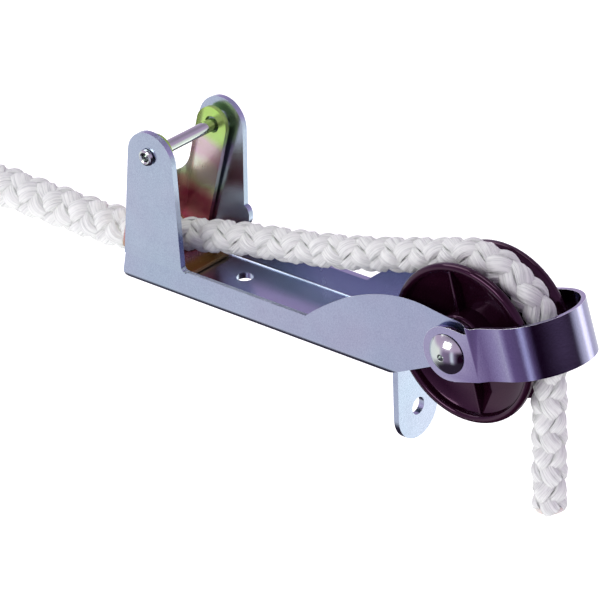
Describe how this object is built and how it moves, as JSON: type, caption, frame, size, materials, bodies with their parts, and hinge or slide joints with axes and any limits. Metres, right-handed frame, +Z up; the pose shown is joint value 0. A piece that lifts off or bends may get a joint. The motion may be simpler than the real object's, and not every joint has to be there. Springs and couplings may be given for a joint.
{
  "type": "single sheave block",
  "caption": "Deck-mounted single sheave block with a hoop guard, an eared channel base and a swinging rope-locking pawl, threaded with a braided rope.",
  "frame": {"origin": "centre of the base's underside, on the mid-plane", "axes": "+X along the base towards the sheave, +Z up off the deck, +Y across to the far ear"},
  "size_m": [0.3107, 0.0505, 0.1153],
  "materials": {
    "zinc_plate": "satin bright zinc plate with a faint blue-lavender cast",
    "yellow_zinc": "yellow chromate over zinc with green and pink bands",
    "bright_steel": "polished",
    "bronze": "sintered, oiled",
    "black_plastic": "glossy moulded nylon",
    "white_rope": "braided multifilament"
  },
  "bodies": {
    "frame": {"frame_channel": "zinc_plate", "guard_strap": "zinc_plate", "axle_rivet": "bright_steel", "axle_bushing": "bronze", "thrust_washer_near": "bright_steel", "thrust_washer_far": "bright_steel", "pawl_pin": "bright_steel", "rope_saddle": "yellow_zinc", "hauling_rope": "white_rope", "anchor_rope": "white_rope"},
    "sheave_wheel": {"sheave": "black_plastic"},
    "lock": {"pawl": "yellow_zinc"}
  },
  "joints": [
    {"name": "sheave_spin", "type": "hinge", "parent": "frame", "child": "sheave_wheel", "pos_m": [0.09825, 0, 0.0198], "axis": [0, 1, 0], "continuous": true},
    {"name": "pawl_swing", "type": "hinge", "parent": "frame", "child": "lock", "pos_m": [-0.0474, 0, 0.059], "axis": [0, 1, 0], "range_deg": [0, 70]}
  ]
}
